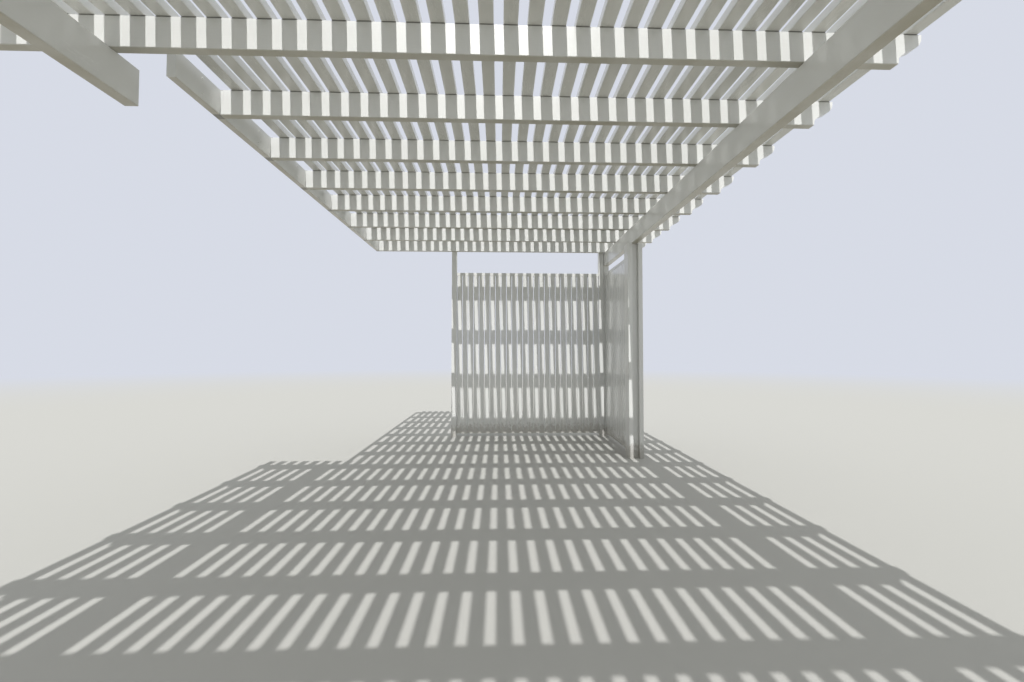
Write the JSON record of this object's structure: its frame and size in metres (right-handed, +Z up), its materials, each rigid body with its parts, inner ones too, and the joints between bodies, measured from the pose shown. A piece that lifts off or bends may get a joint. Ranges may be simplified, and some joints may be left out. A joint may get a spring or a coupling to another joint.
{
  "type": "wall-side pergola",
  "caption": "White pergola along a house wall: corbel-tailed rafters on two beams, flat slats above, side-plated posts, and a slatted privacy screen with a return wing.",
  "frame": {"origin": "on the floor, at the middle of the box round the plan", "axes": "+X from the house's side wall towards the garden, +Y along the side wall towards the privacy screen, +Z up"},
  "size_m": [5.0714, 8.1756, 3.0421],
  "materials": {
    "beam_paint": "satin off-white paint with a faint embossed grain",
    "rafter_paint": "satin off-white paint with a faint embossed grain",
    "slat_paint": "satin off-white paint with a faint embossed grain",
    "post_paint": "satin off-white paint with a faint embossed grain",
    "plate_paint": "satin off-white paint with a faint embossed grain",
    "board_paint": "satin off-white paint with a faint embossed grain",
    "rail_paint": "satin off-white paint with a faint embossed grain",
    "cap_paint": "satin off-white paint with a faint embossed grain"
  },
  "bodies": {
    "root": {"beam_caps": "cap_paint", "corner_post": "post_paint", "inner_beam": "beam_paint", "ledger": "beam_paint", "ledger_caps": "cap_paint", "near_post_inner": "post_paint", "near_post_inner_plates": "plate_paint", "near_post_outer": "post_paint", "near_post_outer_plates": "plate_paint", "outer_beam": "beam_paint", "rafter_01": "rafter_paint", "rafter_02": "rafter_paint", "rafter_03": "rafter_paint", "rafter_04": "rafter_paint", "rafter_05": "rafter_paint", "rafter_06": "rafter_paint", "rafter_07": "rafter_paint", "rafter_08": "rafter_paint", "rafter_09": "rafter_paint", "rafter_10": "rafter_paint", "rafter_11": "rafter_paint", "rafter_12": "rafter_paint", "rafter_13": "rafter_paint", "rafter_14": "rafter_paint", "rafter_caps": "cap_paint", "screen_boards": "board_paint", "screen_post_left": "post_paint", "screen_post_right": "post_paint", "screen_rails": "rail_paint", "slat_bank_1": "slat_paint", "slat_bank_2": "slat_paint", "slat_bank_3": "slat_paint", "slat_bank_4": "slat_paint", "slat_bank_front": "slat_paint", "slat_caps": "cap_paint", "wing_boards": "board_paint", "wing_post": "post_paint", "wing_post_plates": "plate_paint", "wing_rails": "rail_paint"}
  },
  "joints": []
}
